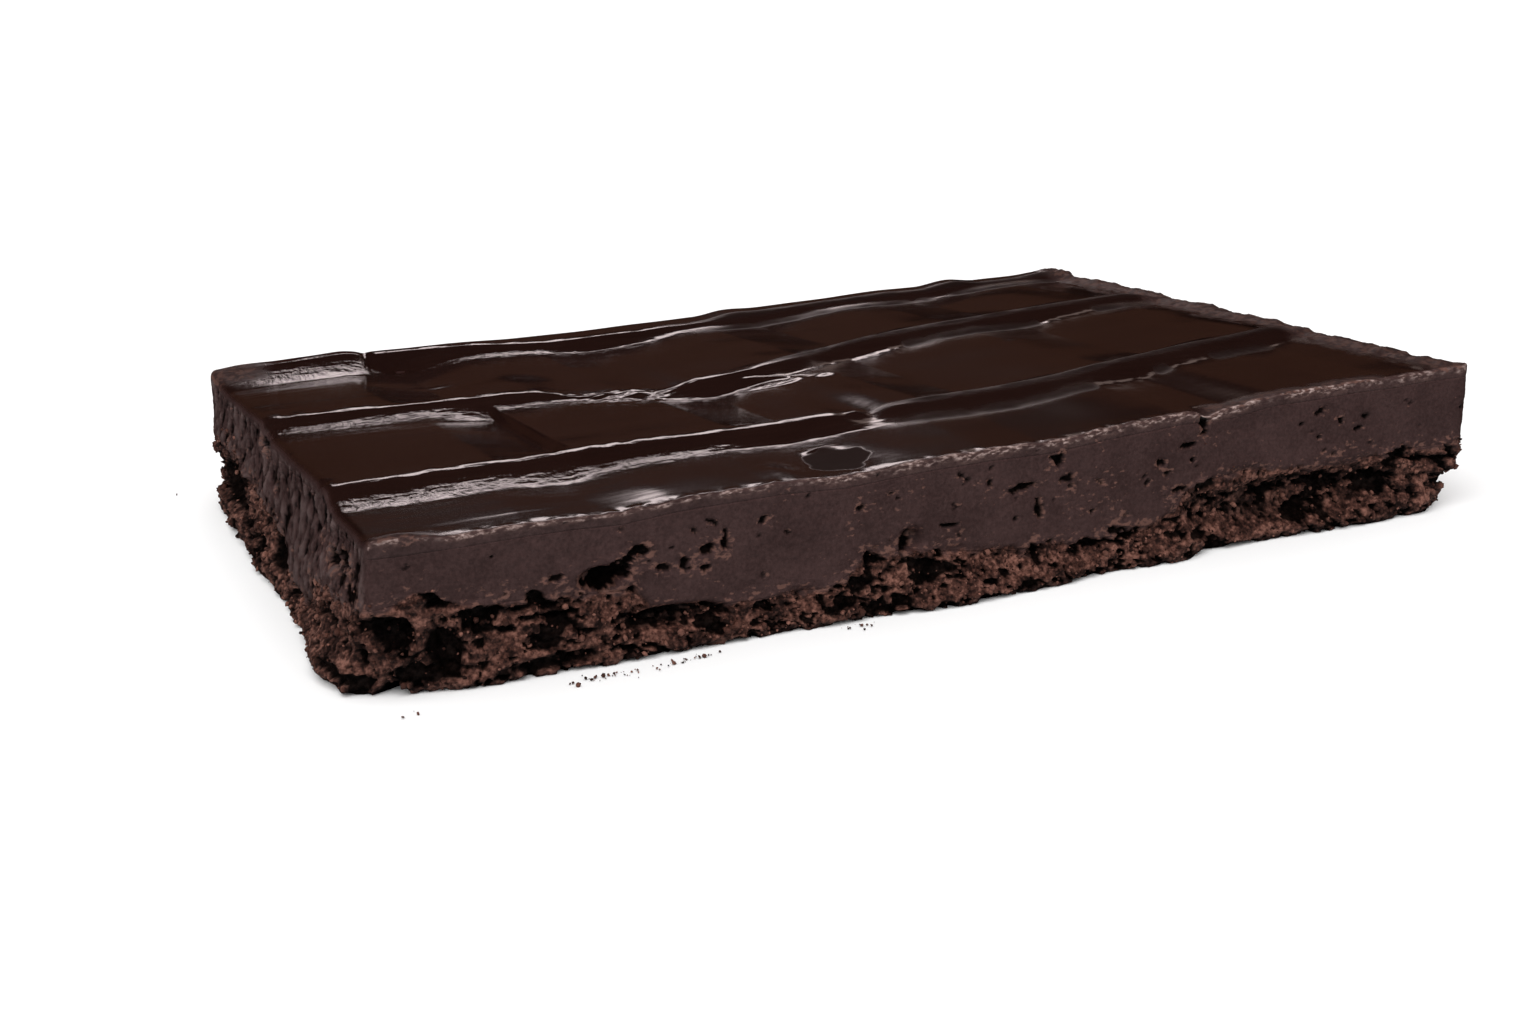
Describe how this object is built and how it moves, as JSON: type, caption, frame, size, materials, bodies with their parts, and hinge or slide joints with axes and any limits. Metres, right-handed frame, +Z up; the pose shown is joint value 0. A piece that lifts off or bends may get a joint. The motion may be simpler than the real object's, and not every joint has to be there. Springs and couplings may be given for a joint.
{
  "type": "brownie fudge cake",
  "caption": "Whole tray-baked brownie fudge cake: a rectangular slab of ragged crumb base, dense fudge and dark glossy icing spread in lengthwise rows.",
  "frame": {"origin": "centre of the slab's flat underside", "axes": "+X along the slab's length, +Y across it from the pictured front to the back, +Z up out of the icing"},
  "size_m": [0.31, 0.2096, 0.042],
  "materials": {
    "crumb": "dry reddish brown cake crumb, ragged and porous",
    "fudge": "dense matte fudge with fine grain, pores and reddish torn flecks",
    "icing": "dark chocolate icing, satin on the flats and bright on the ridges"
  },
  "bodies": {
    "root": {"crumb_base": "crumb", "fudge_layer": "fudge", "icing": "icing"}
  },
  "joints": []
}
